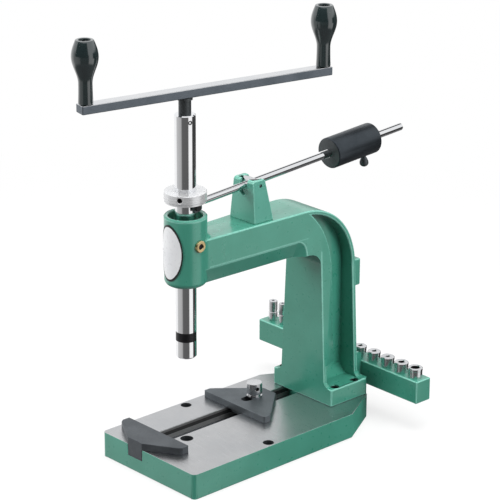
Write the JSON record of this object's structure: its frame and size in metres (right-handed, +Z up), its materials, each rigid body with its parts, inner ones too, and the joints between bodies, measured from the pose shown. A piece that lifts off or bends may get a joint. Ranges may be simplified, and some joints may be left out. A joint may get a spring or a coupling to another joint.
{
  "type": "hand crank tapping tool",
  "caption": "Bench tapping tool: a hand crank turns a vertical spindle in a C-shaped frame over a base with clamping jaws, and a weighted lever balances it.",
  "frame": {"origin": "on the spindle axis at the underside of the base, which is the lower end of the tap clearance hole", "axes": "+Z up along the spindle, -Y towards the front of the base, +X to the right seen from the front"},
  "size_m": [0.252, 0.4405, 0.48],
  "materials": {
    "green_casting": "green machine enamel on cast iron",
    "ground_steel": "ground bright steel",
    "polished_steel": "plated bright rod",
    "dark_steel": "black oxide steel",
    "blued_steel": "dark satin steel",
    "black_handle": "gloss black moulding",
    "bronze": "plain bearing bronze",
    "blank_plate": "white enamel with a dark border, no lettering"
  },
  "bodies": {
    "frame": {"base_plate": "green_casting", "frame_casting": "green_casting", "foot_dowels": "ground_steel", "column_bolts": "dark_steel", "upper_bush": "bronze", "lower_bush": "bronze", "name_plate": "blank_plate", "oil_plug": "bronze", "lever_bracket": "green_casting", "bracket_screws": "dark_steel", "pivot_pin": "ground_steel", "tap_rack": "green_casting", "rack_screws": "dark_steel", "fixed_jaw": "dark_steel", "fixed_jaw_screws": "dark_steel"},
    "thrust_ring": {"thrust_washer": "ground_steel"},
    "spindle_unit": {"spindle": "ground_steel", "lift_collar": "ground_steel", "collar_screw": "dark_steel", "nose_band": "dark_steel", "detent_ball": "ground_steel", "crank_stem": "dark_steel", "stem_screw": "dark_steel", "crank_arm": "blued_steel", "handle_axles": "ground_steel"},
    "short_handle": {"handle_short": "black_handle"},
    "long_handle": {"handle_long": "black_handle"},
    "lever": {"lever_hub": "ground_steel", "lever_rod": "polished_steel", "fork_rod": "polished_steel", "lever_fork": "dark_steel", "fork_pins": "dark_steel"},
    "weight": {"counterweight": "blued_steel"},
    "weight_lock": {"weight_screw": "dark_steel"},
    "jaw": {"moving_jaw": "dark_steel", "clamp_washer": "ground_steel", "clamp_nut": "dark_steel"},
    "clamp": {"clamp_screw": "ground_steel"},
    "holder_1": {"tap_holder_1": "ground_steel"},
    "holder_2": {"tap_holder_2": "ground_steel"},
    "holder_3": {"tap_holder_3": "ground_steel"},
    "holder_4": {"tap_holder_4": "ground_steel"},
    "holder_5": {"tap_holder_5": "ground_steel"},
    "holder_6": {"tap_holder_6": "ground_steel"},
    "holder_7": {"tap_holder_7": "ground_steel"}
  },
  "joints": [
    {"name": "spindle_lift", "type": "slide", "parent": "frame", "child": "thrust_ring", "axis": [0, 0, 1], "range_m": [-0.008, 0.03]},
    {"name": "crank_turn", "type": "hinge", "parent": "thrust_ring", "child": "spindle_unit", "pos_m": [0, 0, 0.328], "axis": [0, 0, 1], "continuous": true},
    {"name": "short_handle_spin", "type": "hinge", "parent": "spindle_unit", "child": "short_handle", "pos_m": [-0.02318, -0.10906, 0.443], "axis": [0, 0, 1], "continuous": true},
    {"name": "long_handle_spin", "type": "hinge", "parent": "spindle_unit", "child": "long_handle", "pos_m": [0.03431, 0.16139, 0.443], "axis": [0, 0, 1], "continuous": true},
    {"name": "lever_tilt", "type": "hinge", "parent": "frame", "child": "lever", "pos_m": [0, 0.091, 0.294], "axis": [1, 0, 0], "range_deg": [-19.3, 5.3]},
    {"name": "weight_slide", "type": "slide", "parent": "lever", "child": "weight", "axis": [0, 0.9978, 0.0663], "range_m": [-0.036, 0.043]},
    {"name": "weight_screw_turn", "type": "hinge", "parent": "weight", "child": "weight_lock", "pos_m": [0, 0.25976, 0.28817], "axis": [0, -0.0663, 0.9978], "range_deg": [0, 360]},
    {"name": "jaw_slide", "type": "slide", "parent": "frame", "child": "jaw", "axis": [0, 1, 0], "range_m": [-0.1, 0.024]},
    {"name": "clamp_turn", "type": "hinge", "parent": "jaw", "child": "clamp", "pos_m": [-0.0205, 0.117, 0.038], "axis": [0, 0, 1], "range_deg": [0, 180]},
    {"name": "holder_1_lift", "type": "slide", "parent": "frame", "child": "holder_1", "axis": [0, 0, 1], "range_m": [0, 0.045]},
    {"name": "holder_2_lift", "type": "slide", "parent": "frame", "child": "holder_2", "axis": [0, 0, 1], "range_m": [0, 0.045]},
    {"name": "holder_3_lift", "type": "slide", "parent": "frame", "child": "holder_3", "axis": [0, 0, 1], "range_m": [0, 0.045]},
    {"name": "holder_4_lift", "type": "slide", "parent": "frame", "child": "holder_4", "axis": [0, 0, 1], "range_m": [0, 0.045]},
    {"name": "holder_5_lift", "type": "slide", "parent": "frame", "child": "holder_5", "axis": [0, 0, 1], "range_m": [0, 0.045]},
    {"name": "holder_6_lift", "type": "slide", "parent": "frame", "child": "holder_6", "axis": [0, 0, 1], "range_m": [0, 0.045]},
    {"name": "holder_7_lift", "type": "slide", "parent": "frame", "child": "holder_7", "axis": [0, 0, 1], "range_m": [0, 0.045]}
  ],
  "couplings": [
    {"joint": "lever_tilt", "follows": "spindle_lift", "rad_per_m": -11.1}
  ]
}
